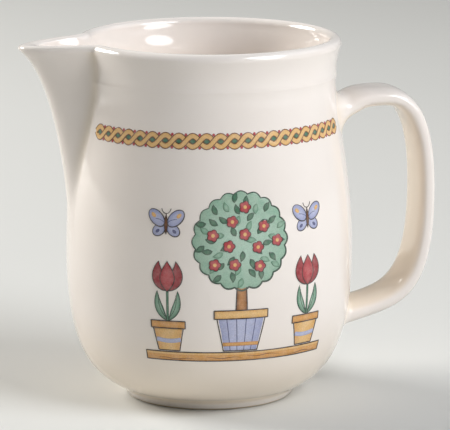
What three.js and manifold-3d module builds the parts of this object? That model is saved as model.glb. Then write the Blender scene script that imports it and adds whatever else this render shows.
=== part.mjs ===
// Glazed stoneware creamer: a bellied pot on a foot ring, with a flared collar, a V-shaped pouring beak,
// a strap handle luted on with slip, and fired-on printed transfers.
// Millimetres, +Z up. The beak points along -X and the handle along +X.
import * as THREE from "three";
import { mergeVertices } from "three/addons/utils/BufferGeometryUtils.js";
import Module from "manifold-3d";

const wasm = await Module();
wasm.setup();

// Pot: outside radii, and heights from the surface that it stands on
const footRadius = 25.8;
const footWidth = 4.3;
const heelFlare = 2.2;
const heelHeight = 3.2;
const bellyRadius = 45.1;
const bellyHeight = 46;
const neckRadius = 39.5;
const collarHeight = 12.5;
const rimRadius = 41.3;
const rimHeight = 114;
const lipDrop = 2.2;
const wall = 4;
const floorThickness = 4.5;

// Pouring beak: how far it throws past the rim, and the width of its V on the pot's face
const beakThrow = 19;
const beakLength = 51;
const tipDrop = 1;
const beakFootStep = 0.9;
const beakWidthAtRim = 26.4;
const beakWidthAtFoot = 10;
const beakWall = 3.2;

// Strap handle, with the room that it leaves for fingers outside the belly
const strapWidth = 20.5;
const strapThickness = 5.8;
const fingerRoom = 21.3;
const upperRootDrop = 12.7;
const archRise = 4.5;
const archReach = 10.6;
const gripHeight = 63;
const lowerRootHeight = 24.3;
const elbowRise = 3.9;
const rootEmbed = 3;
const rootFlare = 1.5;

// Slip that fills the corner round each handle root: how far it spreads on the pot and runs up the strap
const upperSlipSpread = 4.4;
const upperSlipLength = 5.2;
const lowerSlipSpread = 1.6;
const lowerSlipLength = 2.4;

// Clearances between pieces, and between a transfer and the glaze below it
const seamGap = 0.3;
const filmGap = 0.2;

// Printed transfers. Widths and offsets run round the pot, heights run up it.
const filmThickness = 0.25;
const borderDrop = 11.3;
const borderHeight = 5;
const borderMargin = 4.8;
const shelfBottom = 19.5;
const shelfHeight = 3.2;
const shelfOverhang = 2.5;
const motifGap = 2;
const tubHeight = 13;
const tubBaseWidth = 11;
const tubTopWidth = 17;
const trunkHeight = 6;
const trunkWidth = 4;
const crownRadius = 15.5;
const sidePotHeight = 9.5;
const sidePotBaseWidth = 7;
const sidePotTopWidth = 11;
const tulipHeight = 19;
const tulipWidth = 9;
const butterflyRise = 7;
const butterflySpan = 12;
const butterflyDepth = 9;

// Fullness of the curves, as shares of each curve's own span
const heelSweep = 0.54;
const heelRise = 0.09;
const bellyDrop = 0.28;
const shoulderStart = 0.47;
const shoulderEnd = 0.79;
const collarBend = 0.35;
const ridgeUpright = 0.38;
const ridgeLean = 0.33;
const ridgeTurn = 0.72;
const armLead = 0.65;
const bendLead = 0.66;
const gripLead = 0.68;
const strapEdge = 0.7;

// Outlines of two motifs, from foot to top: share of the height, then share of the width
const tulipOutline = [[0.03, 0.5], [0.25, 0.75], [0.5, 0.3], [0.6, 0.7], [0.75, 1], [0.94, 0.85], [1, 0.5]];
const butterflyOutline = [[0, 0.2], [0.18, 0.65], [0.42, 0.4], [0.66, 1], [0.9, 0.85], [1, 0.4]];

// Facets
const turnSteps = 60;
const curveSteps = 8;
const lipSteps = 6;
const beakSteps = 12;
const flankSteps = 6;
const strapSteps = 7;
const slipSteps = 6;
const crownSteps = 8;
const filmStep = 5;
const weld = 1e-4;

// How far the beak's flanks run on into the pot, as a share of the V's half angle
const flankOverrun = 1.2;

// How blunt the V's ridge is at its foot and at the tip, as the sine of an angle about the pot's axis
const footBluntness = 0.4;
const tipBluntness = 0.12;

// Colours
const creamGlaze = 0xebe3dc;
const slipGlaze = 0xe6ddd4;
const wipedClay = 0xe2d8c8;
const honeyInk = 0xe3b673;
const woodInk = 0xc9924e;
const leafInk = 0x8fb59b;
const tulipInk = 0xb0413e;
const wingInk = 0x9a9fbd;

// Places that follow from the sizes
const heelRadius = footRadius + heelFlare;
const neckHeight = rimHeight - collarHeight;
const clearOfRim = rimHeight + lipDrop;
const tipReach = rimRadius + beakThrow;
const tipHeight = rimHeight - tipDrop;
const beakFootHeight = tipHeight - beakLength;
const handleReach = bellyRadius + fingerRoom + strapThickness;
const upperRootHeight = neckHeight - upperRootDrop;
const borderTop = neckHeight - borderDrop;
const borderBottom = borderTop - borderHeight;
const motifFoot = shelfBottom + shelfHeight + seamGap;
const sidePotOffset = crownRadius + motifGap + sidePotTopWidth / 2;
const shelfWidth = 2 * (sidePotOffset + sidePotTopWidth / 2 + shelfOverhang);
const butterflyOffset = crownRadius + motifGap + butterflySpan / 2;
const butterflyBottom = motifFoot + sidePotHeight + tulipHeight + butterflyRise;

const glazed = (colour) => new THREE.MeshStandardMaterial({ color: colour, roughness: 0.12, metalness: 0 });
const printed = (colour) => new THREE.MeshStandardMaterial({ color: colour, roughness: 0.2, metalness: 0 });
const bareClay = new THREE.MeshStandardMaterial({ color: wipedClay, roughness: 0.45, metalness: 0 });

const rz = (radius, height) => new THREE.Vector2(radius, height);
const { lerp, clamp, mapLinear } = THREE.MathUtils;

// Solids and booleans

function toSolid(geometry) {
  const bare = geometry.clone();
  bare.deleteAttribute("normal");
  bare.deleteAttribute("uv");
  const merged = mergeVertices(bare, weld);
  const vertProperties = new Float32Array(merged.attributes.position.array);
  const triVerts = new Uint32Array(merged.index.array);
  return new wasm.Manifold(new wasm.Mesh({ numProp: 3, vertProperties, triVerts }));
}

function toGeometry(solid) {
  const mesh = solid.getMesh();
  const geometry = new THREE.BufferGeometry();
  geometry.setAttribute("position", new THREE.BufferAttribute(mesh.vertProperties, 3));
  geometry.setIndex(new THREE.BufferAttribute(mesh.triVerts, 1));
  geometry.computeVertexNormals();
  return geometry;
}

function turned(outline) {
  return toSolid(new THREE.LatheGeometry(outline, turnSteps).rotateX(Math.PI / 2));
}

// Closed skin over a row of rings with equal point counts. Each end is a fan from the ring's middle.
function skinned(rings) {
  const count = rings[0].length;
  const points = rings.flat();
  const index = [];
  for (let k = 0; k + 1 < rings.length; k++) {
    for (let i = 0; i < count; i++) {
      const a = k * count + i;
      const b = k * count + ((i + 1) % count);
      index.push(a, b, b + count, a, b + count, a + count);
    }
  }
  const last = (rings.length - 1) * count;
  const middle = (ring) => ring.reduce((sum, p) => sum.add(p), new THREE.Vector3()).divideScalar(count);
  points.push(middle(rings[0]), middle(rings.at(-1)));
  const startFan = points.length - 2;
  for (let i = 0; i < count; i++) {
    const next = (i + 1) % count;
    index.push(startFan, next, i, startFan + 1, last + i, last + next);
  }
  return toSolid(new THREE.BufferGeometry().setFromPoints(points).setIndex(index));
}

// Outlines of the pot, from the heel up, set in from the outside face by a given depth

function lowerCurve(inset, startHeight) {
  const start = rz(heelRadius - inset / 2, startHeight);
  const end = rz(bellyRadius - inset, bellyHeight);
  const sweep = rz(lerp(start.x, end.x, heelSweep), lerp(start.y, end.y, heelRise));
  const swell = rz(end.x, lerp(start.y, end.y, bellyDrop));
  return new THREE.CubicBezierCurve(start, sweep, swell, end);
}

function shoulderCurve(inset) {
  return new THREE.CubicBezierCurve(
    rz(bellyRadius - inset, bellyHeight),
    rz(bellyRadius - inset, lerp(bellyHeight, neckHeight, shoulderStart)),
    rz(neckRadius - inset, lerp(bellyHeight, neckHeight, shoulderEnd)),
    rz(neckRadius - inset, neckHeight),
  );
}

function collarCurve(inset) {
  const lipHeight = rimHeight - lipDrop;
  return new THREE.CubicBezierCurve(
    rz(neckRadius - inset, neckHeight),
    rz(neckRadius - inset, lerp(neckHeight, lipHeight, collarBend)),
    rz(rimRadius - inset, lerp(lipHeight, neckHeight, collarBend)),
    rz(rimRadius - inset, lipHeight),
  );
}

// Points of curves that meet end to end
function joined(...curves) {
  return curves.flatMap((curve, i) => curve.getPoints(curveSteps).slice(i ? 1 : 0));
}

const potOutline = joined(lowerCurve(0, heelHeight), shoulderCurve(0), collarCurve(0));

// Outside radius of the pot at a height
function potRadius(height) {
  const inRange = clamp(height, potOutline[0].y, potOutline.at(-1).y);
  const above = Math.max(1, potOutline.findIndex((p) => p.y >= inRange));
  const low = potOutline[above - 1];
  const high = potOutline[above];
  return mapLinear(inRange, low.y, high.y, low.x, high.x);
}

// The space that the pot takes up, grown by the seam gap: what is luted on is trimmed to it
function potEnvelope() {
  const outside = potOutline.map((p) => rz(p.x + seamGap, p.y));
  return turned([rz(0, heelHeight), ...outside, rz(rimRadius + seamGap, clearOfRim), rz(0, clearOfRim)]);
}

// Pouring beak: level slices of a V whose point leans out along the ridge

function ridgeCurve() {
  const footRidge = potRadius(beakFootHeight) + beakFootStep;
  return new THREE.CubicBezierCurve(
    rz(footRidge, beakFootHeight),
    rz(footRidge, lerp(beakFootHeight, tipHeight, ridgeUpright)),
    rz(lerp(footRidge, tipReach, ridgeLean), lerp(beakFootHeight, tipHeight, ridgeTurn)),
    rz(tipReach, tipHeight),
  );
}

function beakHalfWidth(height) {
  return mapLinear(height, beakFootHeight, tipHeight, beakWidthAtFoot, beakWidthAtRim) / 2;
}

// One slice: from the ridge's point, two flanks run straight back to a circle about the pot's axis.
// A ray at angle a from the ridge meets the flank at the radius below, and a hyperbola blunts the point.
function sliceRing(point, halfWidth, circle, height) {
  const back = Math.sqrt(circle ** 2 - halfWidth ** 2);
  const crease = halfWidth / circle;
  const underTip = Math.min(height, tipHeight);
  const bluntness = mapLinear(underTip, beakFootHeight, tipHeight, footBluntness, tipBluntness);
  const blunted = (s) => Math.hypot(s, bluntness) - bluntness;
  const spread = flankOverrun * Math.asin(crease);
  const ring = [new THREE.Vector3(-circle / 3, 0, height)];
  for (let i = -flankSteps; i <= flankSteps; i++) {
    const a = (spread * i * Math.abs(i)) / flankSteps ** 2;
    const run = (crease * blunted(Math.sin(a))) / blunted(crease);
    const radius = (point * halfWidth) / (halfWidth * Math.cos(a) + (point - back) * run);
    ring.push(new THREE.Vector3(-radius * Math.cos(a), -radius * Math.sin(a), height));
  }
  return ring;
}

function beakOutside() {
  const ridges = ridgeCurve().getPoints(beakSteps);
  return skinned(ridges.map((p) => sliceRing(p.x, beakHalfWidth(p.y), potRadius(p.y), p.y)));
}

// The channel inside the beak: the same V moved in by a wall that thins from the pot's to the beak's,
// and open above the rim
function beakChannel() {
  const ridges = ridgeCurve().getPoints(beakSteps);
  const slices = ridges.map((p) => {
    const halfWidth = beakHalfWidth(p.y);
    const circle = potRadius(p.y);
    const flank = Math.atan2(halfWidth, p.x - Math.sqrt(circle ** 2 - halfWidth ** 2));
    const thickness = mapLinear(p.y, beakFootHeight, tipHeight, wall + beakFootStep, beakWall);
    const point = p.x - thickness / Math.sin(flank);
    return [point, halfWidth - thickness * Math.cos(flank), circle - wall, p.y];
  });
  const [point, halfWidth, circle] = slices.at(-1);
  slices.push([point, halfWidth, circle, clearOfRim]);
  return skinned(slices.map((slice) => sliceRing(...slice)));
}

const envelope = potEnvelope();
const channel = beakChannel();

function makePotWall() {
  const floorTop = heelHeight + floorThickness;
  const outside = joined(lowerCurve(0, heelHeight), shoulderCurve(0));
  const inside = joined(lowerCurve(wall, floorTop), shoulderCurve(wall)).reverse();
  return turned([rz(0, heelHeight), ...outside, ...inside, rz(0, floorTop)]).subtract(channel);
}

function makeRimCollar() {
  const outside = joined(collarCurve(0));
  const inside = joined(collarCurve(wall)).reverse();
  const middle = rz(rimRadius - wall / 2, rimHeight - lipDrop);
  const lip = new THREE.EllipseCurve(middle.x, middle.y, wall / 2, lipDrop, 0, Math.PI);
  const crest = lip.getPoints(lipSteps).slice(1, -1);
  return turned([...outside, ...crest, ...inside, outside[0]]).subtract(channel);
}

function makeFootRing() {
  const bore = footRadius - footWidth;
  const outline = [rz(bore, 0), rz(footRadius, 0), rz(heelRadius, heelHeight), rz(bore, heelHeight)];
  return turned([...outline, outline[0]]);
}

function makeBeak() {
  return beakOutside().subtract(channel).subtract(envelope);
}

// Strap handle: an oval section carried along an arch in the XZ plane

// The arch runs from the upper root over its peak, down the grip and round the elbow to the lower root
function archCurves() {
  const at = (radius, height) => new THREE.Vector3(radius, 0, height);
  const grip = at(handleReach - strapThickness / 2, gripHeight);
  const upper = at(potRadius(upperRootHeight) - rootEmbed, upperRootHeight);
  const peak = at(bellyRadius + archReach, upperRootHeight + archRise);
  const lower = at(potRadius(lowerRootHeight) - rootEmbed, lowerRootHeight);
  const elbow = at(bellyRadius + archReach, lowerRootHeight + elbowRise);
  const upperLead = armLead * (peak.x - upper.x);
  const lowerLead = armLead * (elbow.x - lower.x);
  const overhang = bendLead * (grip.x - peak.x);
  const leadOut = at(upper.x + upperLead, lerp(upper.z, peak.z, armLead));
  const leadIn = at(elbow.x - lowerLead, lerp(elbow.z, lower.z, bendLead));
  return [
    [upper, leadOut, at(peak.x - upperLead, peak.z), peak],
    [peak, at(peak.x + overhang, peak.z), at(grip.x, lerp(grip.z, peak.z, gripLead)), grip],
    [grip, at(grip.x, lerp(grip.z, elbow.z, bendLead)), at(elbow.x + overhang, elbow.z + elbowRise), elbow],
    [elbow, leadIn, at(lower.x + lowerLead, lower.z), lower],
  ].map((points) => new THREE.CubicBezierCurve3(...points));
}

const arch = archCurves();

// Oval ring of the strap, square to the arch.
// growth(point) says how far the ring swells at a point of the plain strap.
function strapRing(curve, t, growth) {
  const across = new THREE.Vector3(0, 1, 0);
  const out = new THREE.Vector3().crossVectors(curve.getTangent(t), across).normalize();
  const rounded = (s) => Math.sign(s) * Math.abs(s) ** strapEdge;
  const ring = [];
  for (let i = 0; i < 2 * strapSteps; i++) {
    const a = (Math.PI * i) / strapSteps;
    const side = rounded(Math.cos(a));
    const face = rounded(Math.sin(a));
    const place = (grow) =>
      curve
        .getPoint(t)
        .addScaledVector(across, side * (strapWidth / 2 + grow))
        .addScaledVector(out, face * (strapThickness / 2 + grow));
    ring.push(place(growth(place(0))));
  }
  return ring;
}

// The whole strap, grown all round by a clearance, with each root flaring into the pot
function strapBody(clearance) {
  const rings = arch.flatMap((curve, c) => {
    const shares = Array.from({ length: strapSteps + 1 }, (_, i) => i / strapSteps).slice(c ? 1 : 0);
    return shares.map((t) => {
      const toUpperRoot = c === 0 ? 1 - t : 0;
      const toLowerRoot = c === arch.length - 1 ? t : 0;
      const flare = (rootFlare / 2) * Math.max(toUpperRoot, toLowerRoot) ** 3;
      return strapRing(curve, t, () => flare + clearance);
    });
  });
  return skinned(rings);
}

function makeHandle() {
  return strapBody(0).subtract(envelope);
}

// Slip joint: a hollow-sided cone of slip round one root, with the strap and the pot taken out of it
function makeSlipJoint(curve, isUpper, spread, length) {
  const edge = rootFlare / 2 + 2 * seamGap;
  const growth = (point) => {
    const offPot = Math.hypot(point.x, point.y) - potRadius(point.z);
    return edge + spread * (1 - clamp(offPot / length, 0, 1)) ** 2;
  };
  const reach = (rootEmbed + length) / curve.getLength();
  const rings = Array.from({ length: slipSteps + 1 }, (_, i) => {
    const along = (reach * i) / slipSteps;
    return strapRing(curve, isUpper ? along : 1 - along, growth);
  });
  if (!isUpper) rings.reverse();
  return skinned(rings).subtract(strapBody(seamGap)).subtract(envelope);
}

// Printed transfers: thin films that follow the pot

// Rows of an outline, with more put in where two lie further apart than the film's step
function finerRows(rows) {
  return rows.flatMap((row, i) => {
    const next = rows[i + 1] ?? row;
    const steps = Math.max(1, Math.ceil((next[0] - row[0]) / filmStep));
    return Array.from({ length: steps }, (_, k) => row.map((value, j) => lerp(value, next[j], k / steps)));
  });
}

// A film from rows of height, left edge and right edge, both measured round the pot from its side's middle
function makeFilm(outline, middleAngle) {
  const rows = finerRows(outline);
  const widest = Math.max(...rows.map(([, left, right]) => right - left));
  const columns = Math.max(2, Math.ceil(widest / filmStep));
  const points = [];
  for (const lift of [filmGap, filmGap + filmThickness]) {
    for (const [height, left, right] of rows) {
      for (let c = 0; c <= columns; c++) {
        const angle = middleAngle + lerp(left, right, c / columns) / bellyRadius;
        const radius = potRadius(height) + lift;
        points.push(new THREE.Vector3(radius * Math.cos(angle), radius * Math.sin(angle), height));
      }
    }
  }
  const sheet = points.length / 2;
  const top = rows.length - 1;
  const at = (row, column) => row * (columns + 1) + column;
  const index = [];
  const quad = (a, b, c, d) => index.push(a, b, c, a, c, d);
  const rim = [];
  for (let r = 0; r < top; r++) {
    for (let c = 0; c < columns; c++) {
      const corners = [at(r, c), at(r, c + 1), at(r + 1, c + 1), at(r + 1, c)];
      quad(...corners.map((i) => i + sheet));
      quad(...corners.reverse());
    }
    rim.push([at(r, columns), at(r + 1, columns)], [at(r + 1, 0), at(r, 0)]);
  }
  for (let c = 0; c < columns; c++) {
    rim.push([at(0, c), at(0, c + 1)], [at(top, c + 1), at(top, c)]);
  }
  for (const [a, b] of rim) quad(a, b, b + sheet, a + sheet);
  return toSolid(new THREE.BufferGeometry().setFromPoints(points).setIndex(index));
}

// Outlines of the motifs as rows of height and half width

function treeRows() {
  const rows = [[motifFoot, tubBaseWidth / 2], [motifFoot + tubHeight, tubTopWidth / 2]];
  const trunkFoot = motifFoot + tubHeight + seamGap;
  const crownMiddle = motifFoot + tubHeight + trunkHeight + crownRadius;
  const trunkAngle = Math.asin(trunkWidth / 2 / crownRadius);
  rows.push([trunkFoot, trunkWidth / 2]);
  for (let i = 0; i < crownSteps; i++) {
    const a = lerp(trunkAngle, Math.PI - trunkAngle, i / (crownSteps - 1));
    rows.push([crownMiddle - crownRadius * Math.cos(a), crownRadius * Math.sin(a)]);
  }
  return rows;
}

function tulipRows() {
  const potTop = motifFoot + sidePotHeight;
  const pot = [[motifFoot, sidePotBaseWidth / 2], [potTop, sidePotTopWidth / 2]];
  const bloom = tulipOutline.map(([up, wide]) => [potTop + up * tulipHeight, (wide * tulipWidth) / 2]);
  return [...pot, ...bloom];
}

function butterflyRows() {
  const row = ([up, wide]) => [butterflyBottom + up * butterflyDepth, (wide * butterflySpan) / 2];
  return butterflyOutline.map(row);
}

function shelfRows() {
  return [[shelfBottom, shelfWidth / 2], [shelfBottom + shelfHeight, shelfWidth / 2]];
}

const about = (rows, offset) => rows.map(([height, half]) => [height, offset - half, offset + half]);

// The border stops short of the beak on one hand and of the handle's slip on the other
function borderRows(beakSide) {
  const middle = (borderBottom + borderTop) / 2;
  const toBeak = beakHalfWidth(middle) + borderMargin;
  const toHandle = strapWidth / 2 + rootFlare / 2 + upperSlipSpread + borderMargin;
  const round = (chord) => bellyRadius * (Math.PI / 2 - Math.asin(chord / potRadius(middle)));
  const [left, right] = beakSide < 0 ? [round(toBeak), round(toHandle)] : [round(toHandle), round(toBeak)];
  return [[borderBottom, -left, right], [borderTop, -left, right]];
}

// The prints on one side of the pot, whose middle is a quarter turn from the beak.
// beakSide is the hand that the beak lies on: -1 where angles grow away from it.
function sidePrints(side, middleAngle, beakSide) {
  const motifs = {
    border_band: [honeyInk, borderRows(beakSide)],
    shelf: [woodInk, about(shelfRows(), 0)],
    potted_tree: [leafInk, about(treeRows(), 0)],
    left_tulip_pot: [tulipInk, about(tulipRows(), -sidePotOffset)],
    right_tulip_pot: [tulipInk, about(tulipRows(), sidePotOffset)],
    left_butterfly: [wingInk, about(butterflyRows(), -butterflyOffset)],
    right_butterfly: [wingInk, about(butterflyRows(), butterflyOffset)],
  };
  return Object.entries(motifs).map(([motif, [ink, outline]]) =>
    piece(`${motif}_print_${side}`, makeFilm(outline, middleAngle), printed(ink)),
  );
}

function piece(name, solid, material) {
  const mesh = new THREE.Mesh(toGeometry(solid), material);
  mesh.name = name;
  return mesh;
}

const upperSlip = makeSlipJoint(arch[0], true, upperSlipSpread, upperSlipLength);
const lowerSlip = makeSlipJoint(arch.at(-1), false, lowerSlipSpread, lowerSlipLength);

const creamer = new THREE.Group();
creamer.add(
  piece("pot_wall", makePotWall(), glazed(creamGlaze)),
  piece("rim_collar", makeRimCollar(), glazed(creamGlaze)),
  piece("pouring_beak", makeBeak(), glazed(creamGlaze)),
  piece("foot_ring", makeFootRing(), bareClay),
  piece("strap_handle", makeHandle(), glazed(creamGlaze)),
  piece("upper_slip_joint", upperSlip, glazed(slipGlaze)),
  piece("lower_slip_joint", lowerSlip, glazed(slipGlaze)),
  ...sidePrints("front", -Math.PI / 2, -1),
  ...sidePrints("back", Math.PI / 2, 1),
);

// The origin is under the middle of the whole length, on the surface that the foot stands on
creamer.position.x = (tipReach - handleReach) / 2;

export default creamer;
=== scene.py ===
import math
from collections import namedtuple
from functools import partial

import bpy
import numpy as np
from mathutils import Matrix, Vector


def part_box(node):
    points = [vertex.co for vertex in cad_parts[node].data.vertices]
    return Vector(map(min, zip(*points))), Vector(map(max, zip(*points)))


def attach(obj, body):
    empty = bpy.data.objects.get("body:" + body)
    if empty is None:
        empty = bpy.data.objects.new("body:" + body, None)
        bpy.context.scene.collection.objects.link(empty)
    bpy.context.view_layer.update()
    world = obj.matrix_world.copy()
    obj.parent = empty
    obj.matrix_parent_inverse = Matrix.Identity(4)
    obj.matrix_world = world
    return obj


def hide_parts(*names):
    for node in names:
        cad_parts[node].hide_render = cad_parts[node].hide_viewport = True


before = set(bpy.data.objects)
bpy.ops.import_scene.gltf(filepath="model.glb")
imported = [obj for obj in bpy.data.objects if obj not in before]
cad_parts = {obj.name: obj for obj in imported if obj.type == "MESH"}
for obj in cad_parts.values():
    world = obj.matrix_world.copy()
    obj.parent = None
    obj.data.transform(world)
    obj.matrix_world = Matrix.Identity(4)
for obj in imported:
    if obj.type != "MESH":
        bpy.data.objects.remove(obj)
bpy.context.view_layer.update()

MM = 0.001


def node_corners(name):
    """Lowest and highest corner of a CAD node, in millimetres."""
    low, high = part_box(name)
    return np.array(low) / MM, np.array(high) / MM


# Sizes in millimetres that the frame holds
foot_low, foot_high = node_corners("foot_ring")
beak_low, beak_high = node_corners("pouring_beak")
wall_high = node_corners("pot_wall")[1]
collar_high = node_corners("rim_collar")[1]
strap_high = node_corners("strap_handle")[1]
AXIS = (foot_low[0] + foot_high[0]) / 2
HEEL_RADIUS = foot_high[1]
HEEL_HEIGHT = foot_high[2]
BELLY_RADIUS = wall_high[1]
NECK_HEIGHT = wall_high[2]
RIM_RADIUS = collar_high[1]
RIM_HEIGHT = collar_high[2]
TIP_REACH = AXIS - beak_low[0]
TIP_HEIGHT = beak_high[2]
BEAK_FOOT = beak_low[2]
STRAP_REACH = strap_high[0] - AXIS

# Pot: sizes, and the shares of each curve's run at which its Bezier handles stand
BELLY_HEIGHT = 46.0
NECK_RADIUS = 39.5
WALL = 4.0
FLOOR_THICKNESS = 4.5
FLOOR_HEIGHT = HEEL_HEIGHT + FLOOR_THICKNESS
LIP_DROP = 2.2
LIP_FOOT = RIM_HEIGHT - LIP_DROP
HEEL_SWEEP, HEEL_RISE, BELLY_DROP = 0.54, 0.09, 0.28
SHOULDER_START, SHOULDER_END = 0.47, 0.79
COLLAR_BEND, FLARE_OUT, FLARE_UP = 0.4, 0.54, 0.75
FLOOR_FILLET_START, FLOOR_FILLET_SHARE = 20.0, 0.12
CORNER_LEAD = 0.67
WALL_WAVE = 0.035

# Faint raised line under the collar
NECK_LINE = NECK_HEIGHT + 0.6
LINE_RISE, LINE_REACH, LINE_SOFTNESS = 0.5, 2.4, 0.1
LINE_FADE = 2.0

# Foot ring, with its edges rounded and its top let into the pot
FOOT_RADIUS, FOOT_BORE = 25.8, 21.5
FOOT_EDGE = 0.8
FOOT_INSET = 1.0
HEEL_FILLET_SHARE = 0.17
HEEL_TUCK = 0.05
FOOT_SIDE_SHARE = 0.7
FOOT_STEPS, FOOT_COLUMNS = 7, 180

# Pouring beak, with a blunt nose at its tip and the creases that the glaze softens
BEAK_FOOT_STEP = 0.9
BEAK_WIDTH_AT_FOOT, BEAK_WIDTH_AT_RIM = 10.0, 26.4
BEAK_WALL = 3.2
RIDGE_UPRIGHT, RIDGE_LEAN, RIDGE_TURN = 0.05, 0.2, 0.97
NOSE_OVERSHOOT, NOSE_BLEND = 4.0, 0.6
FOOT_BLUNTNESS, TIP_BLUNTNESS = 0.4, 0.18
FLANK_DIVE = 0.5
BEAK_FADE = 18.0
CREASE_HEIGHTS = (62.0, 80.0, 100.0, 113.0)
CREASE_BLENDS = (0.8, 1.8, 1.2, 0.8)
CHANNEL_BLEND, LIP_BLEND = 5.0, 0.5
BEAK_LIP_EDGE, NOSE_EDGE = 0.55, 0.75
LIP_EDGE_SHARES, NOSE_EDGE_SHARES = (0.05, 0.35), (0.7, 1)

# Rows and columns of the body's mesh
BEAK_ARC = math.radians(40)
BEAK_COLUMNS, REST_COLUMNS = 161, 141
POLE_RADIUS = 1.5
INNER_SPACING, OUTER_SPACING = 1.4, 0.7
LINE_CLOSENESS, LINE_ZONE = 2.0, 1.5
FLOOR_ROWS, CORNER_ROWS, LIP_ROWS, UNDER_ROWS = 10, 12, 18, 14

# Glaze cover: how far painted shade reaches from a crease, up from the heel, on the foot and on the strap,
# how far a warmer, darker tint runs low on the pot, and where the glaze thins on the ridge
SHADE_TINT_MOST = 0.7
CREASE_SHADE, CREASE_SHADE_START, CREASE_SHADE_FULL = 1.6, 66.0, 84.0
HEEL_SHADE = 2.5
LOW_TINT_FULL, LOW_TINT_END = 6.0, 34.0
RIDGE_ARC, RIDGE_THIN_START, RIDGE_THIN_FULL = 0.03, 74.0, 100.0
LIP_THIN_DROP = 0.5
FOOT_BARE_FULL, FOOT_BARE_END, FOOT_SHADE = 0.15, 0.9, 1.6
STRAP_SHADE_START, STRAP_SHADE_FULL = 0.2, 0.9
STRAP_EDGE_THIN = 0.6

# Strap handle, with a fillet of slip round each root
STRAP_WIDTH, STRAP_THICKNESS = 20.5, 5.8
STRAP_EDGE = 0.7
UPPER_ROOT, LOWER_ROOT = 88.8, 23.7
ARCH_RISE, ARCH_REACH = 4.5, 10.6
GRIP_HEIGHT = 63.0
ELBOW_RISE = 3.9
ELBOW_SLOPE, LOWER_SLOPE = 0.4, 0.15
ELBOW_LEAD, LOWER_LEAD = 3.6, 8.0
ARM_LEAD, BEND_LEAD, GRIP_LEAD = 0.65, 0.66, 0.68
ROOT_EMBED = 3.0
ROOT_FLARE, ROOT_ARM = 1.5, 17.0
ROOT_SPAN = 9.0
UPPER_FILLET, LOWER_FILLET = 5.0, 1.8
STATION_SPACING, STATIONS_SKIPPED = 0.06, 14
STRAP_COLUMNS = 56

# Printed transfers: widths and offsets run round the pot, heights run up it
SHELF_BOTTOM, SHELF_HEIGHT, SHELF_WIDTH = 19.5, 3.2, 62.0
MOTIF_FOOT = SHELF_BOTTOM + SHELF_HEIGHT + 0.3
TUB_HEIGHT, TUB_BASE, TUB_TOP, TUB_RIM = 13.0, 11.0, 17.0, 2.6
TRUNK_HEIGHT, TRUNK_BASE, TRUNK_TOP = 6.0, 3.6, 3.0
CROWN_RADIUS = 15.5
LEAVES, BLOSSOMS = 44, 11
SIDE_POT_OFFSET = 23.0
SIDE_POT_HEIGHT, SIDE_POT_BASE, SIDE_POT_TOP, SIDE_POT_RIM = 9.5, 7.0, 11.0, 2.3
TULIP_HEIGHT, TULIP_WIDTH = 19.0, 9.0
BUTTERFLY_OFFSET, BUTTERFLY_MIDDLE = 23.5, 62.7
BORDER_BOTTOM, BORDER_TOP = 85.2, 90.2
BORDER_MIDDLE = (BORDER_BOTTOM + BORDER_TOP) / 2
BORDER_MARGIN = 4.8
BORDER_WAVE, BORDER_PERIOD, BORDER_BAND = 1.62, 9.0, 1.6
SLIP_SPREAD = 4.4
FILM_LIFT, FILM_STEP, FILM_DIP = 0.05, 0.02, 0.09
OUTLINE_WIDTH, HAIRLINE = 0.36, 0.2
PEN_SHADE, STROKE_END = 0.25, 0.04

# Patterns of the materials: sizes and depths in millimetres
GLAZE_CLOUD, GLAZE_SWELL, GLAZE_PEEL = 22.0, 16.0, 1.6
SWELL_DEPTH, PEEL_DEPTH = 0.05, 0.003
CLAY_GRIT, GRIT_DEPTH = 0.5, 0.05
INK_WASH, INK_DOTS, DOT_DEPTH = 2.2, 0.35, 0.004
BOARD_CLOUD, BOARD_TOOTH, TOOTH_DEPTH = 240.0, 0.9, 0.02

# Camera, floor and studio
VIEW_AZIMUTH = math.radians(-13)
VIEW_ELEVATION = math.radians(11.507)
VIEW_DISTANCE = 1131.6
VIEW_RIGHT = 5.0
VIEW_HEIGHT = 56.73
LENS = 287.3
SENSOR = 36.0
FLOOR_SIZE = 3000.0
LAMP_DISTANCE = 1500.0
FILL_LIGHT, MIRRORED_TONE, BACKDROP_TONE = 0.01, 0.38, 0.8


def lerp(start, end, share):
    """Value at a share of the way from start to end."""
    return start + (end - start) * share


def smoothstep(low, high, value):
    """0 below low, 1 above high, and the cubic 3s^2 - 2s^3 of the share s between them."""
    share = np.clip((value - low) / (high - low), 0, 1)
    return share**2 * (3 - 2 * share)


def bell(distance, reach):
    """Gaussian: 1 at no distance, and 1/e at the reach."""
    return np.exp(-((distance / reach) ** 2))


def squared(wave, power):
    """A sine or cosine with its size raised to a power, which squares off the oval that it draws."""
    return np.sign(wave) * np.abs(wave) ** power


def soft_excess(excess, blend):
    """Excess above zero, its corner at zero rounded by the parabola (excess + blend)^2 / (4 blend)."""
    rounded = (excess + blend) ** 2 / (4 * blend)
    return np.where(excess > blend, excess, np.where(excess < -blend, 0, rounded))


def full_turn(steps):
    """Angles spread evenly round a full turn."""
    return np.linspace(0, 2 * math.pi, steps, endpoint=False)


def bezier(points, share):
    """Cubic Bezier: the four points weighted by the Bernstein polynomials of each share."""
    a, b, c, d = (np.asarray(point, float) for point in points)
    t = np.asarray(share, float)[:, None]
    s = 1 - t
    return s**3 * a + 3 * s**2 * t * b + 3 * s * t**2 * c + t**3 * d


def joined(*curves, steps=80):
    """Points of cubic Beziers that meet end to end."""
    share = np.linspace(0, 1, steps)
    return np.concatenate([bezier(curve, share)[(i > 0):] for i, curve in enumerate(curves)])


def rounded_corner(start, corner, end):
    """Bezier whose handles both point at a corner, which it rounds off."""
    return start, lerp(start, corner, CORNER_LEAD), lerp(end, corner, CORNER_LEAD), end


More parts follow.
